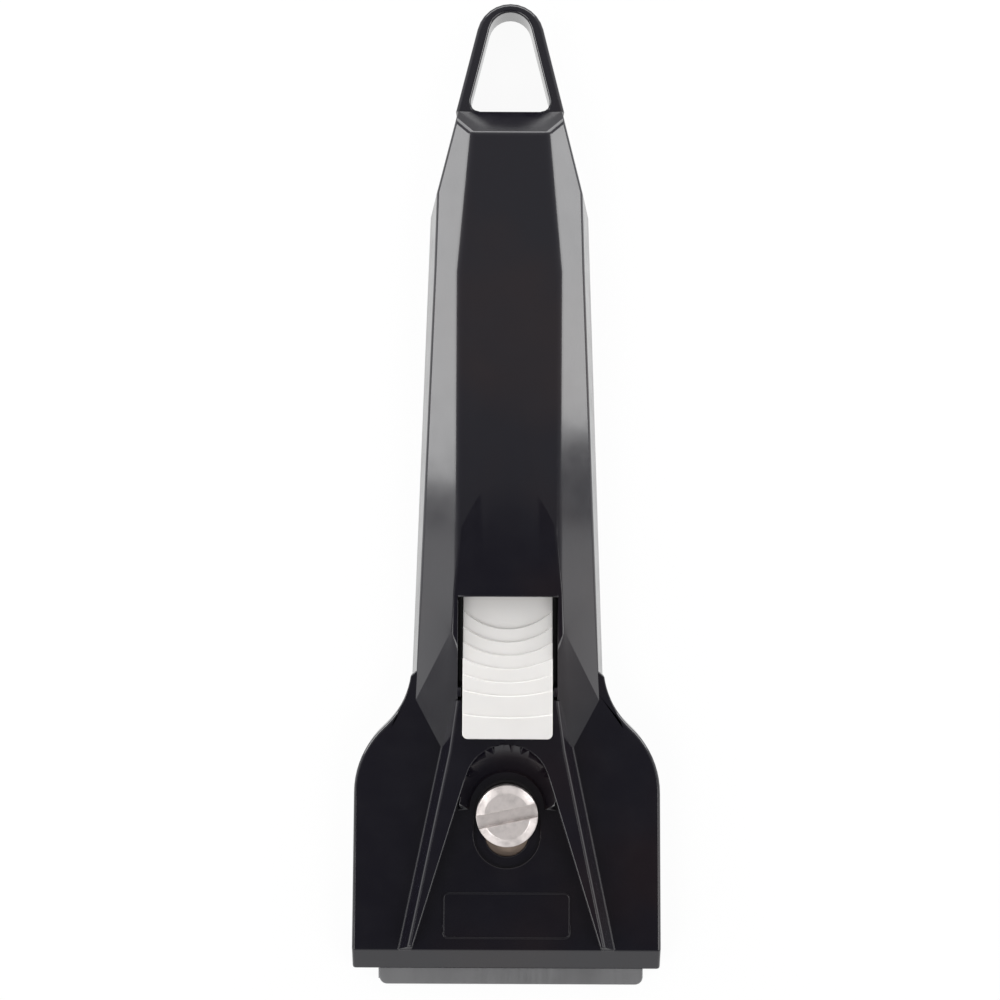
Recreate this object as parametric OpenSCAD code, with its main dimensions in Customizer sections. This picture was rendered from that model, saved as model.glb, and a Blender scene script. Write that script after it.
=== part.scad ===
// Ceramic hob scraper with a sliding single-edge blade.
// It lies on its back: +Z up out of the face, +Y towards the hanging loop, -Y towards the blade.
// The origin is under the middle of the whole object, on the surface that it lies on.

/* [Body] */
// Length of the black body, from the lip to the top of the hanging loop
body_len = 147; // [140:0.5:165]
// Width of the grip where its long taper starts, under the hanging loop
grip_w = 24.3; // [22.5:0.1:26]
// Width of the neck between the grip and the head
neck_w = 29.2; // [28:0.1:31]
// Inward lean of the grip's side walls, from the back to the bevel
side_lean = 0.95; // [0.5:0.05:1.2]
// Height at which the bevels start on the grip
bevel_h = 7.3; // [6.6:0.1:7.5]
// Width of the flat panel along the grip
panel_w = 15.3; // [15.1:0.1:16]
// Width of the flat panel at its end by the hanging loop
panel_end_w = 11.4; // [10.5:0.1:12.5]
// Wall thickness of the hollow grip
wall = 1.8; // [1.4:0.1:2]
// Depth of the thumb scoop above the window
scoop_depth = 0.9; // [0.6:0.1:1.4]
// Length of the thumb scoop
scoop_len = 16.5; // [14:0.5:22]
// Radius of the thumb scoop across the panel
scoop_r = 60; // [35:5:120]

/* [Hanging loop] */
// Outer radius of the loop's round top
loop_r = 5.15; // [4.8:0.05:5.4]
// Height of the loop
loop_h = 8; // [7.6:0.1:8.6]
// Length of the loop, from the slope of the panel to the top
loop_len = 16.4; // [15.5:0.1:19]
// Length of the slope from the loop up to the panel
slope_len = 3.8; // [2.5:0.1:5]
// Length of the quick taper, from the slope to the long taper
taper_len = 15.4; // [13:0.1:17]
// Width of the bar at the top of the loop
bar_top = 1.35; // [1.2:0.05:1.8]
// Width of the bars at the sides of the loop
bar_side = 1.75; // [1.5:0.05:2.1]
// Bevel along the loop's edges
loop_bevel = 0.45; // [0.3:0.05:0.8]
// Radius of the two lower corners of the loop's hole
hole_corner = 1.4; // [0.8:0.1:1.6]

/* [Head] */
// Length of the head's straight sides, from the lip
head_len = 27.2; // [25:0.1:29]
// Narrowing of each straight side of the head towards the grip
head_lean = 0.25; // [0:0.05:0.6]
// Radius of the head's outer corners
corner_r = 13.5; // [11:0.5:15]
// Radius of the hollow between head and neck
neck_r = 13; // [11:0.5:15]
// Thickness of the head's side walls
mouth_wall = 2.45; // [2:0.05:3]
// Thickness of the head's roof, over the blade carriage
roof_t = 2.1; // [1.8:0.1:2.6]
// Run of the chamfer above the lip
lip_run = 3.3; // [2.6:0.1:4]
// Height of the lip's front edge
lip_edge = 0.4; // [0.3:0.05:0.8]
// Depth of the land behind the lip that backs the support plate
land_len = 8; // [7:0.1:8.1]

/* [Raised shield] */
// Height of the shield and its two legs over the head
shield_rise = 3.8; // [3.2:0.1:4.4]
// Height of the panel over the shield
panel_rise = 2; // [1.4:0.1:2.4]
// Width of the shield's foot at its waist
waist_w = 20; // [19:0.1:22]
// Width over the two legs at the lip, at their foot
legs_w = 34.2; // [33:0.1:36]
// Sideways slope of the legs' outer faces
leg_slope = 1.3; // [0.8:0.05:1.6]
// Slope of the legs' front ends, behind the lip's chamfer
leg_end_slope = 0.9; // [0.3:0.1:1.5]
// Radius of the arched pocket's round top
arch_r = 6.4; // [6:0.1:6.8]
// Distance from the lip to the centre of the arch
arch_from_lip = 28.5; // [28:0.1:29]
// Angle at which the sides of the pocket spread
arch_spread = 17.2; // [16:0.1:17.6]
// Flat floor between the screw's recess and the slope in the arch
slope_gap = 0.7; // [0.4:0.1:1]
// Distance from the lip to the bare plate that is outlined on the pocket's floor
plate_mark_from_lip = 5; // [4.5:0.1:5.5]
// Width of the bare plate
plate_mark_w = 19.5; // [15:0.5:21]
// Length of the bare plate along the body
plate_mark_l = 7.1; // [5:0.1:7.6]
// Radius of the bare plate's corners
plate_mark_corner = 0.9; // [0.6:0.1:2]
// Width of the outline's raised line
mark_line = 0.3; // [0.2:0.05:0.5]
// Height of the outline's raised line
mark_rise = 0.12; // [0.05:0.01:0.3]

/* [Window and thumb slider] */
// Distance from the lip to the shield's waist
waist_from_lip = 34; // [33.5:0.1:35.5]
// Distance from the lip to the window
window_from_lip = 41.5; // [41:0.1:43]
// Length of the window
window_len = 15.7; // [15.2:0.1:17]
// Width of the thumb slider
slider_w = 13.55; // [12.5:0.05:13.9]
// Gap beside the thumb slider in the window
window_gap = 0.75; // [0.5:0.05:0.75]
// Length of the thumb slider that shows
slider_l = 21.3; // [20.8:0.1:22]
// Rise of the thumb slider's lip over the panel
slider_rise = 0.2; // [0:0.05:1]
// Number of steps on the thumb rest
step_count = 7; // [5:1:9]
// Height of one step of the thumb rest
step_h = 0.5; // [0.3:0.02:0.5]
// Distance from the window's end to the first step
first_step = 4.9; // [4:0.1:5.5]
// Length of the stepped rest, from the first step to the last but one
rest_len = 10; // [8:0.1:11]
// Length of the flat lip at the slider's end
flat_lip = 3.2; // [2.6:0.1:4]
// Bow of the first step's edge
first_bow = 2.8; // [2:0.1:3.4]
// Bow of the last step's edge
last_bow = 0.5; // [0.3:0.1:1.5]
// Radius of the thumb slider's corners
slider_corner = 0.8; // [0.4:0.1:1.2]
// Length of the tongue that runs on under the panel
tongue_len = 4.3; // [3.6:0.1:5]
// Thickness of the tongue
tongue_t = 1.5; // [1.2:0.1:1.8]
// Height of the gap under the slider's overhang, over the shield
overhang_gap = 0.3; // [0.2:0.05:0.4]
// Thickness of the slider's two snap legs
leg_t = 2.4; // [1.8:0.1:2.8]
// Width of the slider's two snap legs
leg_w = 5; // [3:0.5:7]
// How far the foot of a snap leg hooks under the carriage
snap_hook = 0.4; // [0.2:0.05:0.5]

/* [Clamp screw] */
// Distance from the lip to the clamp screw at rest
screw_from_lip = 24; // [23.9:0.1:24.6]
// Travel of the screw, slider and blade
travel = 3.2; // [2.4:0.1:3.3]
// Diameter of the screw's head
head_d = 9.4; // [9:0.1:9.8]
// Height of the screw's head
head_h = 3; // [2.4:0.1:3.4]
// Width of the bright chamfer round the screw's head
head_chamfer = 1.2; // [0.6:0.1:1.4]
// Height of the bright chamfer round the screw's head
head_chamfer_h = 0.7; // [0.4:0.05:0.9]
// Diameter of the screw's shank
shank_d = 4.9; // [4.5:0.1:5]
// Length of the screw's shank
shank_l = 5.1; // [4.8:0.1:5.2]
// Width of the slot across the screw's head
coin_slot_w = 2; // [1.2:0.1:2.4]
// Depth of the slot across the screw's head
coin_slot_depth = 1.3; // [0.8:0.1:1.6]
// Angle at which the slot lies
coin_slot_turn = 12; // [0:1:90]
// Thickness of the lock washer
washer_t = 1.1; // [0.8:0.05:1.2]
// Outer diameter of the lock washer
washer_d = 9.2; // [8.6:0.1:9.2]
// Width of the split in the lock washer
split_w = 0.8; // [0.4:0.1:1.2]
// Depth of the recess round the screw's head
recess_depth = 0.7; // [0.4:0.05:0.9]
// Gap beside the screw's head in the recess
recess_gap = 0.3; // [0.2:0.05:0.4]
// Gap between the screw's head and the recess's end at rest
recess_rest_gap = 0.7; // [0.3:0.05:0.8]
// Width over the flats of the nut
nut_af = 8; // [7.6:0.1:8.2]
// Thickness of the nut
nut_t = 2; // [1.6:0.1:2.1]

/* [Blade and carriage] */
// Length of the blade's edge
blade_w = 39.2; // [36:0.1:44]
// Width of the blade from its edge to its back
blade_l = 19; // [18.7:0.1:19.1]
// Thickness of the blade
blade_t = 0.25; // [0.2:0.05:0.35]
// Length of the ground bevel at the blade's edge
grind_len = 1.2; // [0.6:0.1:1.6]
// How far the resting edge lies behind the front of the support plate
edge_guard = 0.75; // [0.5:0.05:1.2]
// Width of the folded strip on the blade's back
strip_l = 4.5; // [4:0.1:5]
// Sheet thickness of the folded strip
strip_t = 0.25; // [0.2:0.05:0.3]
// Thickness of the blade carriage
carriage_t = 2.7; // [2.6:0.1:3.2]
// Length of the carriage over the blade, in front of the strip
carriage_nose = 1.3; // [0.8:0.1:1.3]
// Diameter of the carriage's boss, which runs in the body's slot
boss_d = 6.4; // [6.2:0.1:6.8]
// Width of the carriage's tail
tail_w = 11; // [9:0.5:12]
// Width of the carriage's neck, round the nut
carriage_neck_w = 16; // [13:0.5:20]
// Width of the support plate's margin beyond each end of the blade
plate_margin = 0.6; // [0.4:0.05:1.2]
// How far the support plate lies to the right of the middle
plate_shift = 0.75; // [0:0.05:0.8]
// How far the support plate stands out of the mouth
plate_out = 2.5; // [2:0.1:2.8]
// Thickness of the support plate
plate_t = 0.7; // [0.5:0.05:0.8]
// Radius of the support plate's front corners
plate_corner = 1.2; // [0.5:0.1:2]
// Diameter of the rivets that hold the support plate
rivet_d = 2.4; // [2:0.1:3]
// Distance between the two rivets
rivet_pitch = 28; // [20:1:30]
// Distance from the lip to the two rivets
rivet_from_lip = 4.5; // [4.2:0.1:5]

/* [Rear cover] */
// Thickness of the rear cover
cover_t = 1.2; // [1.1:0.1:1.4]
// Width of the body's rim round the rear cover
rim_w = 1; // [0.8:0.05:1.2]
// How far the cover's front edge lies behind the lip
cover_setback = 2; // [1.5:0.1:3]
// Width of the two stiffening ribs on the cover
cover_rib_w = 1; // [0.8:0.1:1.6]
// Height of the two stiffening ribs on the cover
cover_rib_h = 1.5; // [1:0.1:2.5]
// Diameter of the cover screws' heads
cover_head_d = 5.2; // [4.6:0.1:5.6]
// Diameter of the cover screws' shanks
cover_shank_d = 2.4; // [2:0.1:2.6]
// Length of the cover screws
cover_screw_l = 4.8; // [4.2:0.1:5]
// Diameter of the bosses for the cover screws
cover_boss_d = 5.4; // [5:0.1:6]
// Distance between the two cover screws in the head
head_screw_pitch = 34; // [33:0.5:36]
// Distance from the lip to the two cover screws in the head
head_screw_from_lip = 28; // [27:0.5:29]
// Distance from the cover's end to the cover screw in the grip
grip_screw_from_end = 10; // [7:0.5:20]

/* [Fit] */
// Clearance between parts that slide on each other
slide_gap = 0.1; // [0.08:0.01:0.12]
// Clearance beside the support plate and the carriage in the mouth
mouth_gap = 0.15; // [0.1:0.05:0.3]
// Radial clearance of a shaft or a screw in its hole
bore_gap = 0.05; // [0.03:0.01:0.08]
// Clearance of parts that are fitted by hand
seat_gap = 0.1; // [0.05:0.01:0.15]

/* [Hidden] */
$fn = 64;
arc_steps = 10; // points along a round stretch of the outline
loop_steps = 6; // points along the loop's round top
past = 1; // how far a cut runs past the face that it opens
bite = 0.1; // how far a solid runs into the one that it is joined to

// Heights, from the surface upwards
carriage_z = cover_t + slide_gap;
strip_z = carriage_z;
blade_z = strip_z + strip_t;
plate_z = blade_z + blade_t + slide_gap;
mouth_h = plate_z + plate_t;
lip_h = mouth_h + lip_edge;
ceiling_h = carriage_z + carriage_t + slide_gap;
wing_h = ceiling_h + roof_t;
recess_h = wing_h - recess_depth;
washer_z = recess_h + slide_gap;
screw_head_z = washer_z + washer_t;
shield_h = wing_h + shield_rise;
panel_h = shield_h + panel_rise;
slider_top = panel_h + slider_rise;
tongue_top = slider_top - step_count * step_h;
tongue_z = tongue_top - tongue_t;
overhang_z = shield_h + overhang_gap;
snap_z = carriage_z + seat_gap;
snap_foot_h = 0.6;

// Places along the body
lip_y = (plate_out - body_len) / 2;
top_y = lip_y + body_len;
plate_front_y = lip_y - plate_out;
slope_y = top_y - loop_len;
panel_end_y = slope_y - slope_len;
taper_y = slope_y - taper_len;
waist_y = lip_y + waist_from_lip;
window_y = lip_y + window_from_lip;
window_end_y = window_y + window_len;
scoop_y = window_end_y + scoop_len;
arch_y = lip_y + arch_from_lip;
screw_y = lip_y + screw_from_lip;
cover_y = lip_y + cover_setback;
cover_end_y = panel_end_y - rim_w / 2;
slider_end_y = window_end_y - slider_l;
tongue_end_y = window_end_y + tongue_len;
stem_y = window_y + travel + 2 * slide_gap;
edge_y = plate_front_y + edge_guard;
blade_back_y = edge_y + blade_l;
strip_back_y = blade_back_y + strip_t;
strip_y = strip_back_y - strip_l;
carriage_front_y = strip_y - carriage_nose;
carriage_shoulder_y = screw_y - 4.5;
carriage_tail_y = screw_y + 6.5;
carriage_end_y = window_end_y + 2.3;
land_y = lip_y + land_len;
rivet_y = lip_y + rivet_from_lip;
rivet_grip = 1.6; // how far a rivet goes up into the land
rivets_x = [plate_shift - rivet_pitch / 2, plate_shift + rivet_pitch / 2];
snap_inset = 1; // from each end of the slider's stem to its snap leg
snap_y = [stem_y + snap_inset, window_end_y - snap_inset - leg_t];

// Widths
plate_w = blade_w + 2 * plate_margin;
mouth_w = plate_w + 2 * (plate_shift + mouth_gap);
head_w = mouth_w + 2 * mouth_wall;
carriage_w = mouth_w - 4 * mouth_gap;
window_w = slider_w + 2 * window_gap;
recess_w = head_d + 2 * recess_gap;
slot_w = boss_d + 2 * slide_gap;

// Plan outline of the loop and the grip: a round top, a quick taper and a long slow one
loop_y = top_y - loop_r;
taper_reach = norm([grip_w / 2, loop_y - taper_y]);
taper_angle = acos(loop_r / taper_reach) - atan2(loop_y - taper_y, grip_w / 2);
corner_x = head_w / 2 - head_lean - corner_r;
corner_y = lip_y + head_len;
hollow_x = neck_w / 2 + neck_r;
hollow_y = corner_y + sqrt(pow(corner_r + neck_r, 2) - pow(hollow_x - corner_x, 2));
join_angle = atan2(hollow_y - corner_y, hollow_x - corner_x);

function blend(a, b, t) = a + (b - a) * t;
function arc(x, y, r, from, to, steps) =
    [for (i = [0 : steps]) [x + r * cos(blend(from, to, i / steps)), y + r * sin(blend(from, to, i / steps))]];
function loop_side(y) = loop_r / cos(taper_angle) + (loop_y - y) * tan(taper_angle);
function grip_side(y) = blend(grip_w / 2, neck_w / 2, (taper_y - y) / (taper_y - hollow_y));

// A half outline and its mirror image: closed at the front edge, or with a round top that both halves share
function mirrored(points) = [for (i = [len(points) - 1 : -1 : 0]) [-points[i][0], points[i][1]]];
function closed(side) = concat([[0, side[0][1]]], side, mirrored(side));
function looped(side) = concat(side, [for (i = [len(side) - 2 : -1 : 0]) [-side[i][0], side[i][1]]]);

// One side of the plan outline of the head and the whole body, drawn in by an inset, from the front to the back
function head_side(inset, front, end_angle = 180) = concat(
    [[head_w / 2 - inset, front]],
    arc(corner_x, corner_y, corner_r - inset, 0, join_angle, arc_steps),
    arc(hollow_x, hollow_y, neck_r + inset, 180 + join_angle, end_angle, arc_steps));
function whole_side(inset, front, end) = concat(
    head_side(inset, front),
    [[grip_w / 2 - inset, taper_y], [loop_side(end) - inset, end]]);

// Plan outline of the hanging loop and of its hole
function loop_outline(inset) = looped(concat([[loop_side(slope_y) - inset, slope_y]],
    arc(0, loop_y, loop_r - inset, taper_angle, 90, loop_steps)));
hole_top_y = top_y - bar_top;
hole_r = (loop_r - bar_side - (hole_top_y - loop_y) * sin(taper_angle)) / (1 - sin(taper_angle));
hole_y = slope_y + hole_corner;
hole_x = loop_side(hole_y) - (bar_side + hole_corner) / cos(taper_angle);
hole_outline = looped(concat(arc(hole_x, hole_y, hole_corner, -90, taper_angle, 4),
    arc(0, hole_top_y - hole_r, hole_r, taper_angle, 90, loop_steps)));

// Plan outline of the arched pocket, from the lip
arch_front = lip_y - past;
arch_x = arch_r / cos(arch_spread) + (arch_y - arch_front) * tan(arch_spread);
arch_outline = concat([[0, arch_front]], looped(concat([[arch_x, arch_front]],
    arc(0, arch_y, arch_r, arch_spread, 90, arc_steps))));

// Corners of the grip's faces, on the +X side. Two faces end the long bevel: the quick bevel beside the
// loop, and the run-out that drops over the head from the window's side to the shield's waist.
neck_corner = [neck_w / 2, hollow_y, 0];
taper_corner = [grip_w / 2, taper_y, 0];
loop_corner = [loop_side(slope_y), slope_y, 0];
bevel_top = [panel_w / 2, 0, panel_h];
bevel_foot = [grip_side(0) - side_lean, 0, bevel_h];
quick_bevel_in = 0.85; // how far the quick bevel cuts into the panel's edge at the taper
quick_top = [panel_w / 2 - quick_bevel_in, taper_y, panel_h];
quick_end = [panel_end_w / 2, panel_end_y, panel_h];
quick_foot = [grip_w / 2 - 0.6, taper_y + 4, bevel_h];
quick_lean = 0.3; // inward lean of the walls along the quick taper
run_out_waist = [waist_w / 2, waist_y, wing_h];
run_out_neck = [neck_w / 2 + 0.2, window_y + 1.5, wing_h];
run_out_top = [panel_w / 2, window_end_y - 6.7, panel_h - 0.8];

cover_screws_at = [[-head_screw_pitch / 2, lip_y + head_screw_from_lip],
    [head_screw_pitch / 2, lip_y + head_screw_from_lip], [0, cover_end_y - grip_screw_from_end]];
cover_head_h = (cover_head_d - cover_shank_d) / 2;

// The space beyond the plane through three points, on its +X side, drawn in by an inset
function unit(v) = v / norm(v);
function outward(n) = n[0] < 0 ? -unit(n) : unit(n);
module beyond(p, q, r, inset = 0, reach = 2 * body_len) {
    u = unit(q - p);
    n = outward(cross(q - p, r - p));
    v = cross(n, u);
    o = p - inset * n;
    multmatrix([[u[0], v[0], n[0], o[0]], [u[1], v[1], n[1], o[1]], [u[2], v[2], n[2], o[2]], [0, 0, 0, 1]])
        translate([-reach / 2, -reach / 2, 0])
            cube([reach, reach, reach]);
}
module both_sides() {
    children();
    mirror([1, 0, 0])
        children();
}

// A flat outline with two round ends, along Y
module stadium(w, y0, y1) {
    translate([-w / 2, y0 + w / 2])
        square([w, y1 - y0 - w]);
    for (y = [y0 + w / 2, y1 - w / 2]) translate([0, y])
        circle(d = w);
}
// A rectangle with round corners, from the middle of its front edge
module soft_rect(w, l, r) {
    translate([r - w / 2, 0])
        square([w - 2 * r, l]);
    translate([-w / 2, r])
        square([w, l - 2 * r]);
    for (x = [-1, 1], y = [r, l - r]) translate([x * (w / 2 - r), y])
        circle(r);
}
// A side profile, drawn as [y, z], across a width
module across(w) {
    translate([-w / 2, 0, 0]) rotate([90, 0, 90]) linear_extrude(w)
        children();
}

// Black moulding with the hanging loop, the window, the screw's recess and the lip
module handle_shell() {
    blind_gap = 0.3;
    hole_d = cover_shank_d + 2 * bore_gap;
    sink_d = cover_head_d + 2 * (bore_gap + seat_gap);
    color([0.11, 0.1, 0.13]) {
        difference() {
            union() {
                hollow_body();
                screw_bosses();
            }
            for (at = cover_screws_at) translate([at[0], at[1], 0]) {
                translate([0, 0, -past])
                    cylinder(d = hole_d, h = past + cover_screw_l + blind_gap);
                cylinder(d1 = sink_d, d2 = hole_d, h = (sink_d - hole_d) / 2);
            }
            screw_recess();
            for (x = rivets_x) translate([x, rivet_y, mouth_h - past])
                cylinder(d = rivet_d + 2 * bore_gap, h = past + rivet_grip);
        }
        window_nubs();
    }
}
module hollow_body() {
    difference() {
        union() {
            grip(0);
            head_slab();
            shield();
            hanging_loop();
        }
        grip(wall);
        translate([0, 0, -past]) linear_extrude(past + cover_t)
            polygon(closed(whole_side(rim_w, cover_y, cover_end_y)));
        translate([0, 0, cover_t - bite]) linear_extrude(ceiling_h - cover_t + bite)
            polygon(closed(head_side(mouth_wall, land_y)));
        translate([-mouth_w / 2, lip_y - past, -past])
            cube([mouth_w, land_len + 2 * past, past + mouth_h]);
        translate([-window_w / 2, window_y, ceiling_h - past])
            cube([window_w, window_len, panel_h]);
        arched_pocket();
        lip_chamfer();
    }
    bare_plate();
}
// The grip and the neck below it, as cut from a block by flat faces: leaning sides, bevels, and a face
// that runs out over the head to the shield's waist. An inset gives the hollow inside, open to the back.
module grip(inset) {
    // Outside, the block runs on past the foot of the run-out, into the head's slab
    front = inset > 0
        ? [[waist_w / 2 - inset, arch_y + arch_r + inset], [run_out_neck[0] - inset, run_out_neck[1]]]
        : [[waist_w / 2 + past, waist_y], [run_out_neck[0], run_out_neck[1] - past]];
    end_y = inset > 0 ? panel_end_y - inset : slope_y;
    floor_z = inset > 0 ? cover_t - bite : 0;
    lean = [-side_lean, 0, bevel_h];
    intersection() {
        difference() {
            linear_extrude(panel_h)
                polygon(closed(concat(front, [
                    [neck_w / 2 - inset, hollow_y],
                    [grip_w / 2 - inset, taper_y],
                    [loop_side(end_y) - inset, end_y]])));
            both_sides() {
                beyond(neck_corner, taper_corner, neck_corner + lean, inset);
                beyond(taper_corner, loop_corner, taper_corner + [-quick_lean, 0, bevel_h], inset);
                beyond(bevel_top, bevel_top + [0, 1, 0], bevel_foot, inset);
                beyond(quick_top, quick_end, quick_foot, inset);
                beyond(run_out_waist, run_out_neck, run_out_top, inset);
            }
            thumb_scoop(inset);
        }
        across(neck_w + 2 * past)
            polygon([
                [waist_y - past, floor_z],
                [slope_y, floor_z],
                [slope_y, loop_h - inset],
                [panel_end_y, panel_h - inset],
                [window_y, panel_h - inset],
                [window_y, shield_h - inset],
                [waist_y - past, shield_h - inset]]);
    }
}
// A shallow scoop for the thumb, cut by a wide tilted cylinder
module thumb_scoop(inset) {
    translate([0, scoop_y, panel_h + scoop_r - inset]) rotate([90 + atan(scoop_depth / scoop_len), 0, 0])
        cylinder(r = scoop_r, h = scoop_y - window_y, $fn = 256);
}
// The head's slab, which runs on a little into the grip
module head_slab() {
    tuck_angle = 8;
    tuck_in = 2;
    linear_extrude(wing_h)
        polygon(closed(concat(head_side(0, lip_y, 180 + tuck_angle), [[neck_w / 2 - tuck_in, hollow_y]])));
}
// The raised shield over the head, with its two legs
module shield() {
    foot = [legs_w / 2, lip_y, wing_h];
    waist = [waist_w / 2, waist_y, wing_h];
    shoulder = [panel_w / 2 + leg_slope, window_y, wing_h];
    sloped_block(foot, waist);
    sloped_block(waist, shoulder);
}
module sloped_block(from, to) {
    difference() {
        translate([0, 0, wing_h - bite]) linear_extrude(shield_rise + bite)
            polygon(closed([[from[0], from[1]], [to[0], to[1]]]));
        both_sides()
            beyond(from, to, from + [-leg_slope, 0, shield_rise]);
    }
}
// A flat loop with a bevel cut along each stretch of its outline, and its hole
module hanging_loop() {
    outer = loop_outline(0);
    inner = loop_outline(loop_bevel);
    bevel_z = loop_h - loop_bevel;
    difference() {
        linear_extrude(loop_h)
            polygon(outer);
        for (turn = [0, 1]) mirror([turn, 0, 0]) for (i = [0 : loop_steps])
            beyond([outer[i][0], outer[i][1], bevel_z], [outer[i + 1][0], outer[i + 1][1], bevel_z],
                [inner[i][0], inner[i][1], loop_h], reach = 2 * norm(outer[i + 1] - outer[i]) + 1);
        translate([0, 0, -past]) linear_extrude(loop_h + 2 * past)
            polygon(hole_outline);
    }
}
// The pocket's floor is level with the wings, and a slope rises to the top of the arch
module arched_pocket() {
    foot_y = screw_y + recess_rest_gap;
    foot_r = recess_w / 2 + slope_gap;
    top_r = arch_y + arch_r - foot_y;
    difference() {
        translate([0, 0, wing_h]) linear_extrude(shield_rise + past)
            polygon(arch_outline);
        translate([0, foot_y, wing_h - past]) difference() {
            translate([-arch_r - past, 0, 0])
                cube([2 * arch_r + 2 * past, top_r + past, shield_rise + past]);
            translate([0, 0, past])
                cylinder(r1 = foot_r, r2 = top_r, h = shield_rise);
            cylinder(r = foot_r, h = past);
        }
    }
}
// The chamfer over the lip, which also slopes the front ends of the legs
module lip_chamfer() {
    chamfer_y = lip_y + lip_run;
    across(head_w + 2 * past)
        polygon([
            [chamfer_y, wing_h],
            [lip_y, lip_h],
            [lip_y - past, lip_h],
            [lip_y - past, panel_h],
            [chamfer_y + leg_end_slope, panel_h],
            [chamfer_y + leg_end_slope, shield_h]]);
}
module screw_recess() {
    translate([0, 0, recess_h]) linear_extrude(shield_h)
        stadium(recess_w, screw_y - travel - head_d / 2 - recess_gap, screw_y + head_d / 2 + recess_rest_gap);
    translate([0, 0, ceiling_h - past]) linear_extrude(past + roof_t)
        stadium(slot_w, screw_y - travel - slot_w / 2, screw_y + slot_w / 2);
}
module screw_bosses() {
    roofs = [wing_h, wing_h, panel_h];
    for (i = [0 : 2]) translate([cover_screws_at[i][0], cover_screws_at[i][1], cover_t])
        cylinder(d = cover_boss_d, h = roofs[i] - wall / 2 - cover_t);
}
// Two small nubs on the window's walls that keep the slider in the middle
module window_nubs() {
    nub_out = window_gap - 2 * slide_gap - bore_gap;
    nub_l = 1.3;
    nub_h = 2;
    nub_top = panel_h - 1.2;
    for (side = [0, 1]) mirror([side, 0, 0])
        translate([window_w / 2 - nub_out, window_y + 0.7, nub_top - nub_h])
            cube([nub_out + bite, nub_l, nub_h]);
}
module bare_plate() {
    translate([0, lip_y + plate_mark_from_lip, wing_h - bite]) linear_extrude(mark_rise + bite) difference() {
        soft_rect(plate_mark_w, plate_mark_l, plate_mark_corner);
        translate([0, mark_line]) soft_rect(
            plate_mark_w - 2 * mark_line, plate_mark_l - 2 * mark_line, plate_mark_corner - mark_line);
    }
}

// Black cover that closes the back and carries the blade carriage from below
module rear_cover() {
    inset = rim_w + seat_gap;
    hole_d = cover_shank_d + 2 * seat_gap;
    color([0.13, 0.12, 0.15]) difference() {
        union() {
            linear_extrude(cover_t)
                polygon(closed(whole_side(inset, cover_y + seat_gap, cover_end_y - seat_gap)));
            cover_ribs();
        }
        for (at = cover_screws_at) translate([at[0], at[1], 0]) {
            translate([0, 0, -past])
                cylinder(d = hole_d, h = cover_t + 2 * past);
            translate([0, 0, -bore_gap])
                cylinder(d1 = cover_head_d + 2 * seat_gap, d2 = hole_d, h = cover_head_h);
        }
    }
}
// Two ribs along the grip, between the tongue and the cover screw
module cover_ribs() {
    front_y = tongue_end_y + 3;
    end_y = cover_end_y - grip_screw_from_end - cover_boss_d;
    for (x = [-1, 1]) translate([(x * tail_w - cover_rib_w) / 2, front_y, cover_t - bite])
        cube([cover_rib_w, end_y - front_y, cover_rib_h + bite]);
}

// Three countersunk screws that hold the rear cover
module cover_screws() {
    cross_l = 2.6;
    cross_w = 0.6;
    cross_depth = 0.8;
    color([0.7, 0.7, 0.72]) for (at = cover_screws_at) translate([at[0], at[1], bore_gap]) difference() {
        union() {
            cylinder(d1 = cover_head_d, d2 = cover_shank_d, h = cover_head_h);
            cylinder(d = cover_shank_d, h = cover_screw_l);
        }
        for (turn = [0, 90]) rotate(turn) translate([-cross_l / 2, -cross_w / 2, -past])
            cube([cross_l, cross_w, past + cross_depth]);
    }
}

// Grey steel plate under the lip, which backs the blade from above and guards its resting edge
module support_plate() {
    depth = plate_out + land_len;
    color([0.5, 0.5, 0.5]) translate([0, plate_front_y, plate_z]) difference() {
        linear_extrude(plate_t) translate([plate_shift, 0]) {
            soft_rect(plate_w, depth, plate_corner);
            translate([-plate_w / 2, depth / 2])
                square([plate_w, depth / 2]);
        }
        for (x = rivets_x) translate([x, rivet_y - plate_front_y, -past])
            cylinder(d = rivet_d + 2 * bore_gap, h = plate_t + 2 * past);
    }
}
// Two flush rivets through the support plate into the body's land
module plate_rivets() {
    color([0.75, 0.75, 0.75]) for (x = rivets_x) translate([x, rivet_y, plate_z])
        cylinder(d = rivet_d, h = plate_t + rivet_grip - seat_gap);
}

// White thumb slider with a stepped thumb rest, a tongue under the panel and two snap legs
module thumb_slider() {
    color([0.93, 0.92, 0.9]) {
        difference() {
            for (k = [0 : step_count]) slider_step(k);
            translate([-slider_w, slider_end_y - past, 0])
                cube([2 * slider_w, stem_y - slider_end_y + past, overhang_z]);
        }
        for (y = snap_y) {
            translate([-leg_w / 2, y, snap_z])
                cube([leg_w, leg_t, tongue_z - snap_z + bite]);
            translate([-leg_w / 2, y - snap_hook, snap_z])
                cube([leg_w, leg_t + 2 * snap_hook, snap_foot_h]);
        }
    }
}
// One step: all of the slider that lies below the step's arc, up to its height. The last one is the flat lip.
module slider_step(k) {
    step_y = window_end_y - first_step - rest_len * (k - 1) / (step_count - 2);
    middle = k == step_count ? slider_end_y + flat_lip : step_y;
    bow = blend(first_bow, last_bow, (k - 1) / (step_count - 1));
    r = (pow(slider_w / 2, 2) + bow * bow) / (2 * bow);
    top = tongue_top + k * step_h;
    translate([0, 0, tongue_z]) linear_extrude(top - tongue_z) difference() {
        translate([0, slider_end_y])
            soft_rect(slider_w, tongue_end_y - slider_end_y, slider_corner);
        if (k > 0) translate([0, middle + r]) {
            circle(r, $fn = 128);
            translate([-slider_w, 0])
                square([2 * slider_w, 2 * r]);
        }
    }
}

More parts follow.
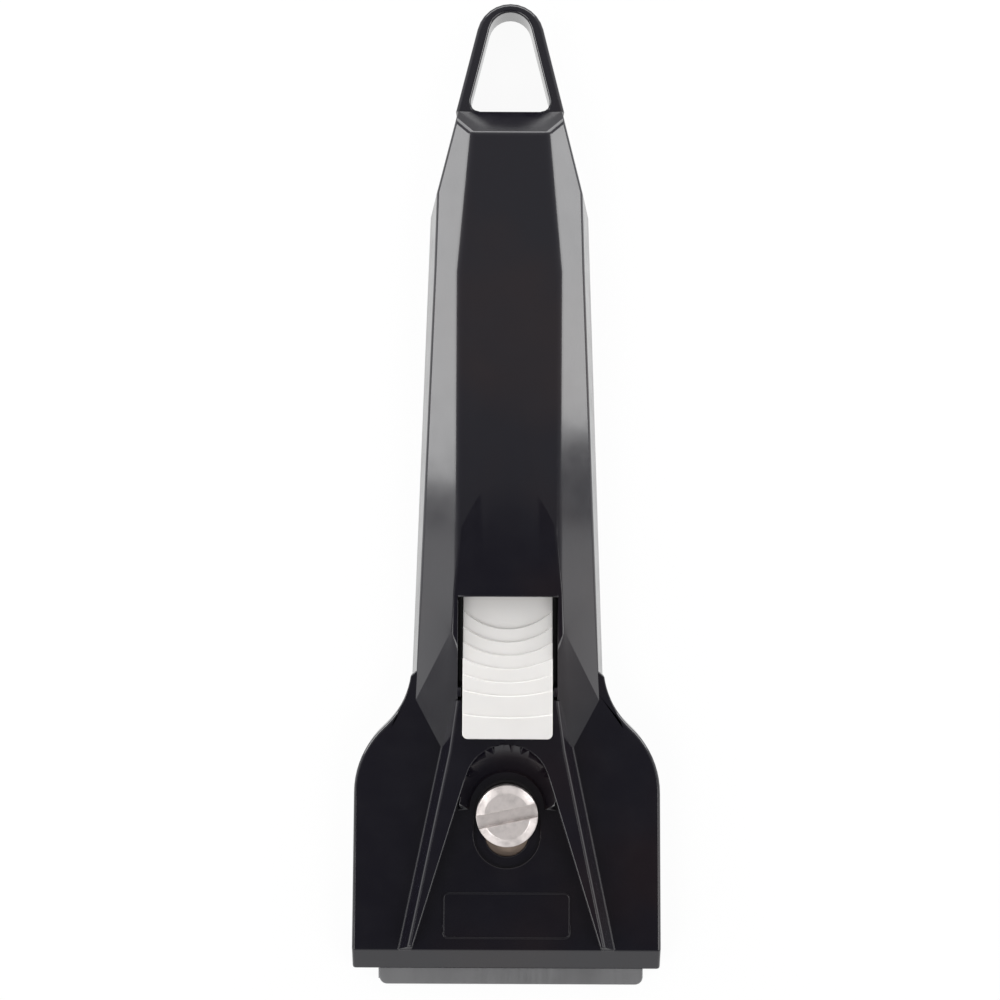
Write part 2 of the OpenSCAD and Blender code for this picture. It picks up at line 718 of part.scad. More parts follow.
// Carriage that holds the blade by its folded strip and is clamped against the head's roof
module blade_carriage() {
    boss_top = recess_h - slide_gap;
    nut_pocket_d = (nut_af + 2 * seat_gap) / cos(30);
    fold_h = 2 * strip_t + blade_t + slide_gap;
    nose_h = strip_t + blade_t + slide_gap / 2;
    foot_hole_h = snap_z - carriage_z + snap_foot_h + seat_gap;
    color([0.82, 0.81, 0.78]) difference() {
        union() {
            carriage_bar(carriage_w, carriage_front_y, carriage_shoulder_y);
            carriage_bar(carriage_neck_w, carriage_shoulder_y - bite, carriage_tail_y);
            carriage_bar(tail_w, carriage_tail_y - bite, carriage_end_y);
            translate([0, screw_y, carriage_z + carriage_t - bite])
                cylinder(d = boss_d, h = boss_top - carriage_z - carriage_t + bite);
        }
        translate([0, screw_y, carriage_z - past]) {
            cylinder(d = shank_d + 4 * bore_gap, h = recess_h + past);
            cylinder(d = nut_pocket_d, h = past + nut_t + slide_gap, $fn = 6);
        }
        // Groove for the folded strip, and the step over the blade in front of it
        translate([-carriage_w, strip_y - seat_gap, carriage_z - past])
            cube([2 * carriage_w, strip_l + 2 * seat_gap, past + fold_h]);
        translate([-carriage_w, carriage_front_y - past, carriage_z - past])
            cube([2 * carriage_w, strip_y - carriage_front_y + past, past + nose_h]);
        for (y = snap_y) {
            snap_hole(y, leg_t, carriage_t + 2 * past);
            snap_hole(y - snap_hook, leg_t + 2 * snap_hook, past + foot_hole_h);
        }
    }
}
module carriage_bar(w, y0, y1) {
    translate([-w / 2, y0, carriage_z])
        cube([w, y1 - y0, carriage_t]);
}
module snap_hole(y, l, h) {
    translate([-leg_w / 2 - seat_gap, y - seat_gap, carriage_z - past])
        cube([leg_w + 2 * seat_gap, l + 2 * seat_gap, h]);
}

// Single-edge blade, ground on both faces
module blade() {
    color([0.78, 0.79, 0.8]) across(blade_w)
        polygon([
            [edge_y, blade_z + blade_t / 2],
            [edge_y + grind_len, blade_z],
            [blade_back_y, blade_z],
            [blade_back_y, blade_z + blade_t],
            [edge_y + grind_len, blade_z + blade_t]]);
}
// Strip of sheet folded over the blade's back
module blade_back_strip() {
    strip_top = strip_z + 2 * strip_t + blade_t;
    color([0.6, 0.61, 0.63]) across(blade_w)
        polygon([
            [strip_y, strip_z],
            [strip_back_y, strip_z],
            [strip_back_y, strip_top],
            [strip_y, strip_top],
            [strip_y, blade_z + blade_t],
            [blade_back_y, blade_z + blade_t],
            [blade_back_y, blade_z],
            [strip_y, blade_z]]);
}

// Thin hexagonal nut in the carriage
module clamp_nut() {
    color([0.72, 0.66, 0.5]) translate([0, screw_y, carriage_z]) difference() {
        cylinder(d = nut_af / cos(30), h = nut_t, $fn = 6);
        translate([0, 0, -past])
            cylinder(d = shank_d + 2 * bore_gap, h = nut_t + 2 * past);
    }
}
// Split washer that stays on the screw
module lock_washer() {
    split_turn = -60;
    color([0.68, 0.62, 0.55]) translate([0, screw_y, washer_z]) difference() {
        cylinder(d = washer_d, h = washer_t);
        translate([0, 0, -past])
            cylinder(d = shank_d + 8 * bore_gap, h = washer_t + 2 * past);
        rotate(split_turn) translate([0, -split_w / 2, -past])
            cube([washer_d, split_w, washer_t + 2 * past]);
    }
}
// Screw with a wide slotted head that clamps the carriage
module clamp_screw() {
    chamfer_z = head_h - head_chamfer_h;
    color([0.8, 0.79, 0.76]) translate([0, screw_y, screw_head_z]) difference() {
        union() {
            cylinder(d = head_d, h = chamfer_z);
            translate([0, 0, chamfer_z])
                cylinder(d1 = head_d, d2 = head_d - 2 * head_chamfer, h = head_chamfer_h);
            translate([0, 0, -shank_l])
                cylinder(d = shank_d, h = shank_l + bite);
        }
        rotate(coin_slot_turn) translate([-head_d, -coin_slot_w / 2, head_h - coin_slot_depth])
            cube([2 * head_d, coin_slot_w, coin_slot_depth + past]);
    }
}

handle_shell();
rear_cover();
cover_screws();
support_plate();
plate_rivets();
thumb_slider();
blade_carriage();
blade();
blade_back_strip();
clamp_nut();
lock_washer();
clamp_screw();
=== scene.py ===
"""Ceramic hob scraper: the finished pieces and their materials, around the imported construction."""

import math

import bmesh
import bpy
from bpy.props import FloatProperty, FloatVectorProperty, PointerProperty
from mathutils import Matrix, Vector
from mathutils.bvhtree import BVHTree


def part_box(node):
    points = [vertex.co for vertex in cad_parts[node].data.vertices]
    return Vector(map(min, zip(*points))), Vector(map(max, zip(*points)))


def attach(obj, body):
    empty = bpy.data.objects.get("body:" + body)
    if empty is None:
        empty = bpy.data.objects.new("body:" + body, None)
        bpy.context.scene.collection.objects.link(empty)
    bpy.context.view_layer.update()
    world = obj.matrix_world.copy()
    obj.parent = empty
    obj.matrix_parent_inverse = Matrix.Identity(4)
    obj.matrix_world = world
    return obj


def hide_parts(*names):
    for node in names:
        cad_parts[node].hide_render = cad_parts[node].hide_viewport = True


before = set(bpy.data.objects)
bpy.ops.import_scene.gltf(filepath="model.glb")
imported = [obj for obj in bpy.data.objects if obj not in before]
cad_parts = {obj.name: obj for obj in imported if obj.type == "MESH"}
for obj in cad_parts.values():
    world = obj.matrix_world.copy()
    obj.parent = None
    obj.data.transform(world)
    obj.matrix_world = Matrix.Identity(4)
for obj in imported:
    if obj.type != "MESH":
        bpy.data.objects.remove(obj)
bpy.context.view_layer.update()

bl_info = {
    "name": "Ceramic hob scraper",
    "version": (1, 0, 0),
    "blender": (4, 5, 0),
    "location": "3D View > Sidebar > Scraper",
    "description": "Builds the finished pieces of a ceramic hob scraper around its construction",
    "category": "Add Mesh",
}

MM = 0.001
WELD = 0.03 * MM  # vertices closer than this are one
WIDEST = 4 * MM  # the radius that a bevel weight of 1 stands for
LIFT = 0.02 * MM  # how far above an edge a ray starts
NEAR = 0.1 * MM  # how far from a height or a line an edge may lie and still be on it
LONG = 5 * MM  # the least run of an edge that goes along the scraper
TONGUE = 4.3 * MM  # how far the slider runs on under the panel
WINDOW_SIDE = 7.525 * MM  # half the window's width
LOOP_LEN = 16.4 * MM  # from the foot of the slope to the top of the hanging loop
WING_Z = 6.2 * MM  # height of the head's wings
SHIELD_Z = 10.0 * MM  # height of the shield and its legs
SHIELD_END = 41.5 * MM  # from the lip to the shield's end at the window
MARK_END = 13 * MM  # from the lip to just past the bare plate's outline
ARCH_FOOT = 24 * MM  # from the lip to just before the slope in the arch
LIP_RUN = 3.3 * MM  # run of the chamfer over the lip
WAIST = 30 * MM  # from the lip to where the grip's foot stands on the wings
CUT = 0.6 * MM  # from the window's end to the line across the grip where its rounding starts
GRIP_SIDE = 9 * MM  # edges farther out than this lie on the walls of the grip
FLAT = math.radians(0.6)  # faces that meet at less than this are one flat face
SHARP = math.radians(24)  # edges that turn by more than this are rounded
SMOOTH = math.radians(40)  # rounded faces that meet at less than this are shaded as one
CREASE = math.radians(5)  # the least turn at which a broad face keeps its edge
BROAD = 8 * MM * MM  # the least area of a broad face
FLOOR_GLOW = 0.94  # how much of the floor that is seen shines white, the rest keeps the shadow


class ScraperSizes(bpy.types.PropertyGroup):
    """Radii and reliefs of the finished pieces"""

    panel_round: FloatProperty(
        name="Panel edge radius", description="Rounding between the grip's panel and its bevels",
        default=0.9 * MM, min=0, unit="LENGTH")
    wall_round: FloatProperty(
        name="Grip wall radius", description="Rounding between the grip's bevels and its side walls",
        default=0.5 * MM, min=0, unit="LENGTH")
    loop_round: FloatProperty(
        name="Loop radius", description="Rounding along the chamfer round the hanging loop",
        default=0.22 * MM, min=0, unit="LENGTH")
    hole_round: FloatProperty(
        name="Hole radius", description="Rounding of the hanging hole's upper edge",
        default=0.45 * MM, min=0, unit="LENGTH")
    leg_round: FloatProperty(
        name="Leg radius", description="Rounding of the shield's outer edges",
        default=0.45 * MM, min=0, unit="LENGTH")
    pocket_round: FloatProperty(
        name="Pocket radius", description="Rounding of the shield's edge round the arched pocket",
        default=0.2 * MM, min=0, unit="LENGTH")
    window_round: FloatProperty(
        name="Window radius", description="Rounding along the window's sides",
        default=0.05 * MM, min=0, unit="LENGTH")
    head_round: FloatProperty(
        name="Head radius", description="Rounding round the top of the head",
        default=0.5 * MM, min=0, unit="LENGTH")
    moulded_round: FloatProperty(
        name="Moulded edge radius", description="Rounding of the black moulding's other edges",
        default=0.22 * MM, min=0, unit="LENGTH")
    line_round: FloatProperty(
        name="Line radius", description="Rounding of the raised line round the bare plate",
        default=0.1 * MM, min=0, unit="LENGTH")
    metal_round: FloatProperty(
        name="Metal edge radius", description="Rounding of the screw's and the plate's edges",
        default=0.1 * MM, min=0, unit="LENGTH")
    slider_round: FloatProperty(
        name="Slider edge radius", description="Rounding of the thumb slider's rim and steps",
        default=0.14 * MM, min=0, unit="LENGTH")
    camera_height: FloatProperty(
        name="Camera height", description="Height of the camera above the surface under the scraper",
        default=430 * MM, min=100 * MM, unit="LENGTH")
    frame_width: FloatProperty(
        name="Frame width", description="Width of the photograph's frame on that surface",
        default=154.3 * MM, min=50 * MM, unit="LENGTH")
    camera_turn: FloatProperty(
        name="Camera turn", description="How far the scraper leans in the frame",
        default=math.radians(0.26), subtype="ANGLE")


class ScraperColours(bpy.types.PropertyGroup):
    """Colours of the materials"""

    black: FloatVectorProperty(
        name="Black plastic", description="Body and rear cover", size=3, subtype="COLOR",
        default=(0.0052, 0.0046, 0.0082), min=0, max=1)
    # Painted reflection: faint warm patches mixed into the black plastic's colour
    painted_warm_reflection: FloatVectorProperty(
        name="Painted warm reflection", description="Faint warm patches in the black plastic", size=3, subtype="COLOR",
        default=(0.0088, 0.0058, 0.008), min=0, max=1)
    white: FloatVectorProperty(
        name="White plastic", description="Thumb slider", size=3, subtype="COLOR",
        default=(0.7, 0.685, 0.67), min=0, max=1)
    steel: FloatVectorProperty(
        name="Plated steel", description="Clamp screw, nut, rivets and cover screws",
        size=3, subtype="COLOR", default=(0.8, 0.74, 0.72), min=0, max=1)
    washer: FloatVectorProperty(
        name="Washer steel", description="Lock washer and blade carriage", size=3, subtype="COLOR",
        default=(0.42, 0.33, 0.27), min=0, max=1)
    plate: FloatVectorProperty(
        name="Grey plate", description="Support plate at the mouth", size=3, subtype="COLOR",
        default=(0.2, 0.2, 0.205), min=0, max=1)
    blade: FloatVectorProperty(
        name="Blade steel", description="Blade", size=3, subtype="COLOR",
        default=(0.62, 0.63, 0.65), min=0, max=1)
    floor: FloatVectorProperty(
        name="Floor", description="Surface under the scraper", size=3, subtype="COLOR",
        default=(0.9, 0.9, 0.9), min=0, max=1)


def sizes():
    return bpy.context.scene.scraper_sizes


def colours():
    return bpy.context.scene.scraper_colours


# Materials

class Shader:
    """A Principled material and short names for the nodes that give it its texture."""

    def __init__(self, name, colour, roughness, metallic=0.0):
        self.material = bpy.data.materials.new(name)
        self.material.use_nodes = True
        self.tree = self.material.node_tree
        self.surface = self.tree.nodes["Principled BSDF"]
        self.surface.inputs["Base Color"].default_value = (*colour, 1)
        self.surface.inputs["Roughness"].default_value = roughness
        self.surface.inputs["Metallic"].default_value = metallic
        self.place = self.add("ShaderNodeTexCoord").outputs["Object"]

    def add(self, kind, **values):
        node = self.tree.nodes.new(kind)
        for name, value in values.items():
            setattr(node, name, value)
        return node

    def link(self, source, target):
        self.tree.links.new(source, target)

    def stretched(self, scale, location=(0, 0, 0), rotation=(0, 0, 0)):
        mapping = self.add("ShaderNodeMapping")
        mapping.inputs["Scale"].default_value = scale
        mapping.inputs["Location"].default_value = location
        mapping.inputs["Rotation"].default_value = rotation
        self.link(self.place, mapping.inputs["Vector"])
        return mapping.outputs["Vector"]

    def noise(self, grain, detail=3, vector=None, roughness=0.5):
        """Noise whose grain is about that many metres wide."""
        node = self.add("ShaderNodeTexNoise")
        node.inputs["Scale"].default_value = 1 / grain
        node.inputs["Detail"].default_value = detail
        node.inputs["Roughness"].default_value = roughness
        self.link(vector or self.place, node.inputs["Vector"])
        return node.outputs["Fac"]

    def spread(self, value, low, high, to_low=0.0, to_high=1.0):
        node = self.add("ShaderNodeMapRange")
        numbers = {"From Min": low, "From Max": high, "To Min": to_low, "To Max": to_high}
        for name, number in numbers.items():
            node.inputs[name].default_value = number
        self.link(value, node.inputs["Value"])
        return node.outputs["Result"]

    def mix(self, factor, first, second):
        """A colour between two, each a colour or another node's output."""
        node = self.add("ShaderNodeMix", data_type="RGBA")
        self.link(factor, node.inputs["Factor"])
        for source, socket in ((first, node.inputs[6]), (second, node.inputs[7])):
            if isinstance(source, bpy.types.NodeSocket):
                self.link(source, socket)
            else:
                socket.default_value = (*source, 1)
        return node.outputs[2]

    def bump(self, height, strength, distance, below=None):
        node = self.add("ShaderNodeBump")
        node.inputs["Strength"].default_value = strength
        node.inputs["Distance"].default_value = distance
        self.link(height, node.inputs["Height"])
        if below:
            self.link(below, node.inputs["Normal"])
        return node.outputs["Normal"]

    def set(self, name, output):
        self.link(output, self.surface.inputs[name])


def black_plastic():
    """Glossy moulded plastic: faint warm patches of painted reflection, hazy gloss and a dust-fine grain.
    """
    c = colours()
    shader = Shader("moulded_black", c.black, 0.14)
    reflection_patches = shader.noise(22 * MM, detail=2)
    # Painted reflection of a warm surrounding, as random faint warm patches in the black base colour
    shader.set("Base Color", shader.mix(shader.spread(reflection_patches, 0.5, 0.7), tuple(c.black), tuple(c.painted_warm_reflection)))
    haze = shader.noise(4 * MM, detail=4)
    shader.set("Roughness", shader.spread(haze, 0.3, 0.75, 0.12, 0.19))
    waves = shader.noise(11 * MM, detail=1)
    grain = shader.noise(0.4 * MM, detail=2)
    normal = shader.bump(waves, 0.25, 0.1 * MM)
    shader.set("Normal", shader.bump(grain, 0.06, 0.01 * MM, normal))
    shader.surface.inputs["IOR"].default_value = 1.5
    return shader.material


def white_plastic():
    """Satin white plastic with a slight translucence and a fine grain."""
    c = colours()
    shader = Shader("moulded_white", c.white, 0.48)
    tone = shader.noise(7 * MM, detail=2)
    shade = tuple(0.955 * channel for channel in c.white)
    shader.set("Base Color", shader.mix(shader.spread(tone, 0.3, 0.7), tuple(c.white), shade))
    grain = shader.noise(0.5 * MM, detail=2)
    shader.set("Roughness", shader.spread(grain, 0.3, 0.7, 0.44, 0.52))
    shader.set("Normal", shader.bump(grain, 0.12, 0.02 * MM))
    shader.surface.inputs["Specular IOR Level"].default_value = 0.35
    shader.surface.inputs["Subsurface Weight"].default_value = 0.08
    shader.surface.inputs["Subsurface Radius"].default_value = (0.6, 0.5, 0.4)
    shader.surface.inputs["Subsurface Scale"].default_value = 0.6 * MM
    return shader.material


def turned_steel():
    """Plated steel with fine turning marks round the clamp screw's axis."""
    c = colours()
    shader = Shader("turned_steel", c.steel, 0.34, metallic=0.8)
    low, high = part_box("clamp_screw")
    axis = (low + high) / 2
    rings = shader.add("ShaderNodeTexWave", wave_type="RINGS", rings_direction="Z")
    rings.inputs["Scale"].default_value = 1 / (0.9 * MM)
    rings.inputs["Distortion"].default_value = 1.5
    rings.inputs["Detail"].default_value = 3
    shader.link(shader.stretched((1, 1, 1), location=(-axis.x, -axis.y, 0)), rings.inputs["Vector"])
    stain = shader.noise(1.6 * MM, detail=4)
    dull = tuple(0.62 * channel for channel in c.steel)
    shader.set("Base Color", shader.mix(shader.spread(stain, 0.4, 0.75), tuple(c.steel), dull))
    shader.set("Roughness", shader.spread(stain, 0.3, 0.7, 0.32, 0.44))
    shader.set("Normal", shader.bump(rings.outputs["Fac"], 0.12, 0.01 * MM))
    return shader.material


def brushed_steel(name, colour, roughness, grain, metallic=1.0):
    """Sheet steel brushed along the scraper, with a cloudy tone."""
    shader = Shader(name, colour, roughness, metallic=metallic)
    lines = shader.noise(grain, detail=3, vector=shader.stretched((1, 0.06, 1)))
    cloud = shader.noise(8 * MM, detail=3)
    dull = tuple(0.8 * channel for channel in colour)
    shader.set("Base Color", shader.mix(shader.spread(cloud, 0.35, 0.7), tuple(colour), dull))
    shader.set("Roughness", shader.spread(lines, 0.3, 0.7, roughness - 0.06, roughness + 0.08))
    shader.set("Normal", shader.bump(lines, 0.1, 0.01 * MM))
    return shader.material


# Modelling helpers

def merged_copy(node):
    """A bmesh of a CAD node whose loose triangles are merged into flat faces."""
    bm = bmesh.new()
    bm.from_mesh(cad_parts[node].data)
    bm.edges.layers.float.new("bevel_weight_edge")
    for edge in bm.edges:
        edge.smooth = True
    bmesh.ops.remove_doubles(bm, verts=bm.verts[:], dist=WELD)
    bmesh.ops.dissolve_degenerate(bm, dist=WELD, edges=bm.edges[:])
    bmesh.ops.dissolve_limit(
        bm, angle_limit=FLAT, use_dissolve_boundaries=False, verts=bm.verts[:], edges=bm.edges[:],
        delimit=set())
    return bm


def middle(edge):
    """The middle of an edge."""
    return (edge.verts[0].co + edge.verts[1].co) / 2


def sharp_edges(bm):
    """The edges that turn enough to be rounded."""
    return [edge for edge in bm.edges if edge.is_manifold and edge.calc_face_angle(0) > SHARP]


def open_edges(bm):
    """The sharp edges that light reaches from above."""
    tree = BVHTree.FromBMesh(bm)
    found = []
    for edge in sharp_edges(bm):
        normal = (edge.link_faces[0].normal + edge.link_faces[1].normal).normalized()
        start = middle(edge) + normal * LIFT
        if normal.z > -0.05 and tree.ray_cast(start, normal)[0] is None:
            found.append(edge)
    return found


def keep_creases(bm, rounded):
    """Marks the edges of broad faces that turn a little, so that shading stops at them."""
    for edge in bm.edges:
        if edge not in rounded and edge.is_manifold and edge.calc_face_angle(0) > CREASE:
            edge.smooth = max(face.calc_area() for face in edge.link_faces) < BROAD


def rounded_object(name, bm, radii, segments, material):
    """The mesh with each edge rounded by its own radius, as an object at the origin."""
    weights = bm.edges.layers.float["bevel_weight_edge"]
    for edge, radius in radii:
        edge[weights] = radius / WIDEST
    rough = bpy.data.meshes.new(name + "_rough")
    bm.to_mesh(rough)
    bm.free()
    piece = bpy.data.objects.new(name, rough)
    bpy.context.scene.collection.objects.link(piece)
    bevel = piece.modifiers.new("rounding", "BEVEL")
    bevel.limit_method = "WEIGHT"
    bevel.offset_type = "OFFSET"
    bevel.width = WIDEST
    bevel.segments = segments
    bevel.use_clamp_overlap = False
    bevel.miter_outer = "MITER_ARC"
    bevel.spread = 0.05 * MM
    mesh = bpy.data.meshes.new_from_object(piece.evaluated_get(bpy.context.evaluated_depsgraph_get()))
    piece.modifiers.clear()
    piece.data = mesh
    mesh.name = name
    bpy.data.meshes.remove(rough)
    mesh.polygons.foreach_set("use_smooth", [True] * len(mesh.polygons))
    creases = [edge.use_edge_sharp for edge in mesh.edges]
    mesh.set_sharp_from_angle(angle=SMOOTH)
    for edge, crease in zip(mesh.edges, creases):
        edge.use_edge_sharp = edge.use_edge_sharp or crease
    mesh.materials.clear()
    mesh.materials.append(material)
    normals = piece.modifiers.new("even_normals", "WEIGHTED_NORMAL")
    normals.keep_sharp = True
    return piece


def evenly_rounded(name, node, radius, segments, material):
    """A CAD node with one radius on all its sharp edges."""
    bm = merged_copy(node)
    return rounded_object(name, bm, [(edge, radius) for edge in sharp_edges(bm)], segments, material)


def stand_for(piece, node, body):
    """Puts a finished piece in the place of its CAD node."""
    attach(piece, body)
    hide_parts(node)


class SCRAPER_OT_handle_shell(bpy.types.Operator):
    """Black moulding with its rounded edges"""

    bl_idname = "scraper.handle_shell"
    bl_label = "Handle shell"

    def execute(self, context):
        bm = merged_copy("handle_shell")
        window_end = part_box("thumb_slider")[1].y - TONGUE
        bmesh.ops.bisect_plane(
            bm, geom=bm.verts[:] + bm.edges[:] + bm.faces[:], dist=WELD / 10,
            plane_co=(0, window_end + CUT, 0), plane_no=(0, 1, 0))
        radii = [(edge, self.radius(edge, window_end)) for edge in open_edges(bm)]
        keep_creases(bm, {edge for edge, radius in radii if radius})
        piece = rounded_object("moulded_body", bm, radii, 4, black_plastic())
        stand_for(piece, "handle_shell", "handle")
        return {"FINISHED"}

    def radius(self, edge, window_end):
        """How round an edge of the moulding is, by where it lies."""
        s = sizes()
        low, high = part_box("handle_shell")
        lip_y, loop_top = low.y, high.y
        panel_z = high.z
        at = middle(edge)
        side = abs(at.x)
        lengthwise = abs(edge.verts[1].co.y - edge.verts[0].co.y) > LONG
        loop_foot = loop_top - LOOP_LEN
        if at.y > loop_foot + 2 * NEAR:
            inner = edge.is_convex and edge.calc_face_angle(0) > math.radians(60)
            return s.hole_round if inner else s.loop_round
        if at.y > loop_foot - 2 * NEAR:
            return 0 if side > 4.6 * MM else s.moulded_round
        if at.y > loop_foot - 1.5 * MM:
            return s.moulded_round
        if at.y > window_end + CUT and side > 5 * MM:
            if at.z > panel_z - 0.9 * MM and edge.is_convex:
                return s.panel_round if lengthwise else s.wall_round
            return s.wall_round
        if at.y > window_end + CUT:
            return s.wall_round
        if at.y > window_end - NEAR and side < WINDOW_SIDE - 2 * NEAR:
            return s.moulded_round
        if at.y > lip_y + SHIELD_END and at.z > panel_z - 3 * MM and side < 9.5 * MM:
            return s.window_round
        if lengthwise and side > GRIP_SIDE and at.y > lip_y + SHIELD_END:
            return s.wall_round if edge.is_convex else s.moulded_round
        return self.head_radius(edge, at, side, lip_y)

    def head_radius(self, edge, at, side, lip_y):
        """How round an edge of the head is."""
        s = sizes()
        if abs(at.z - WING_Z) < 0.15 * MM and side < 9.8 * MM and at.y < lip_y + MARK_END:
            return s.line_round if edge.is_convex else 0
        in_arch = side < 7.3 * MM and lip_y + ARCH_FOOT < at.y < lip_y + SHIELD_END
        if in_arch and at.z > WING_Z - NEAR:
            return s.line_round if at.z > SHIELD_Z - NEAR else 0
        if at.z > SHIELD_Z - NEAR:
            if abs(edge.calc_face_angle(0) - math.pi / 2) > CREASE:
                return s.leg_round
            beside_screw = side <= 4.2 * MM and at.y <= lip_y + SHIELD_END - 1 * MM
            return s.window_round if beside_screw else s.pocket_round
        if not edge.is_convex:
            return 0 if side < 5.5 * MM or at.y > lip_y + WAIST else s.moulded_round
        if side > 16 * MM and at.z > WING_Z - NEAR:
            return s.head_round if at.y > lip_y + LIP_RUN + 2 * NEAR else s.moulded_round
        if at.z < WING_Z - NEAR and at.y < lip_y + LIP_RUN - NEAR and side > 22 * MM:
            return s.head_round
        return s.moulded_round


class SCRAPER_OT_rear_cover(bpy.types.Operator):
    """Rear cover and its three screws"""

    bl_idname = "scraper.rear_cover"
    bl_label = "Rear cover"

    def execute(self, context):
        s = sizes()
        black = bpy.data.materials["moulded_black"]
        piece = evenly_rounded("back_cover", "rear_cover", s.moulded_round, 2, black)
        stand_for(piece, "rear_cover", "handle")
        piece = evenly_rounded("countersunk_screws", "cover_screws", s.metal_round / 2, 2, turned_steel())
        stand_for(piece, "cover_screws", "handle")
        return {"FINISHED"}


class SCRAPER_OT_clamp(bpy.types.Operator):
    """Clamp screw, lock washer and nut"""

    bl_idname = "scraper.clamp"
    bl_label = "Clamp screw"

    def execute(self, context):
        radius = sizes().metal_round
        steel = bpy.data.materials["turned_steel"]
        worn = brushed_steel("washer_steel", colours().washer, 0.4, 0.3 * MM)
        for name, node, body, material in (
            ("slotted_screw", "clamp_screw", "screw", steel),
            ("split_washer", "lock_washer", "washer", worn),
            ("thin_nut", "clamp_nut", "slider", steel),
        ):
            stand_for(evenly_rounded(name, node, radius, 3, material), node, body)
        return {"FINISHED"}


class SCRAPER_OT_mouth(bpy.types.Operator):
    """Support plate, its rivets, the blade and its folded strip"""

    bl_idname = "scraper.mouth"
    bl_label = "Plate and blade"

    def execute(self, context):
        radius = sizes().metal_round
        c = colours()
        grey = brushed_steel("sheet_steel", c.plate, 0.34, 0.5 * MM, metallic=0.35)
        blank = brushed_steel("ground_steel", c.blade, 0.22, 0.2 * MM)
        steel = bpy.data.materials["turned_steel"]
        for name, node, body, slot, material, share in (
            ("guard_plate", "support_plate", "handle", "grey_steel", grey, 1.5),
            ("flush_rivets", "plate_rivets", "handle", "plated_steel", steel, 1),
            ("steel_blade", "blade", "slider", "blade_steel", blank, 0),
            ("folded_strip", "blade_back_strip", "slider", "grey_steel", grey, 0.5),
        ):
            stand_for(evenly_rounded(name, node, share * radius, 3, material), node, body)
        return {"FINISHED"}


class SCRAPER_OT_slider(bpy.types.Operator):
    """White thumb slider and the steel carriage under it"""

    bl_idname = "scraper.slider"
    bl_label = "Thumb slider"

    def execute(self, context):
        s = sizes()
        white = white_plastic()
        bm = merged_copy("thumb_slider")
        radii = [
            (edge, s.slider_round if edge.is_convex else 0.8 * s.slider_round)
            for edge in open_edges(bm)]
        piece = rounded_object("stepped_slider", bm, radii, 4, white)
        stand_for(piece, "thumb_slider", "slider")
        steel = bpy.data.materials["washer_steel"]
        piece = evenly_rounded("sliding_carriage", "blade_carriage", s.metal_round, 2, steel)
        stand_for(piece, "blade_carriage", "slider")
        return {"FINISHED"}


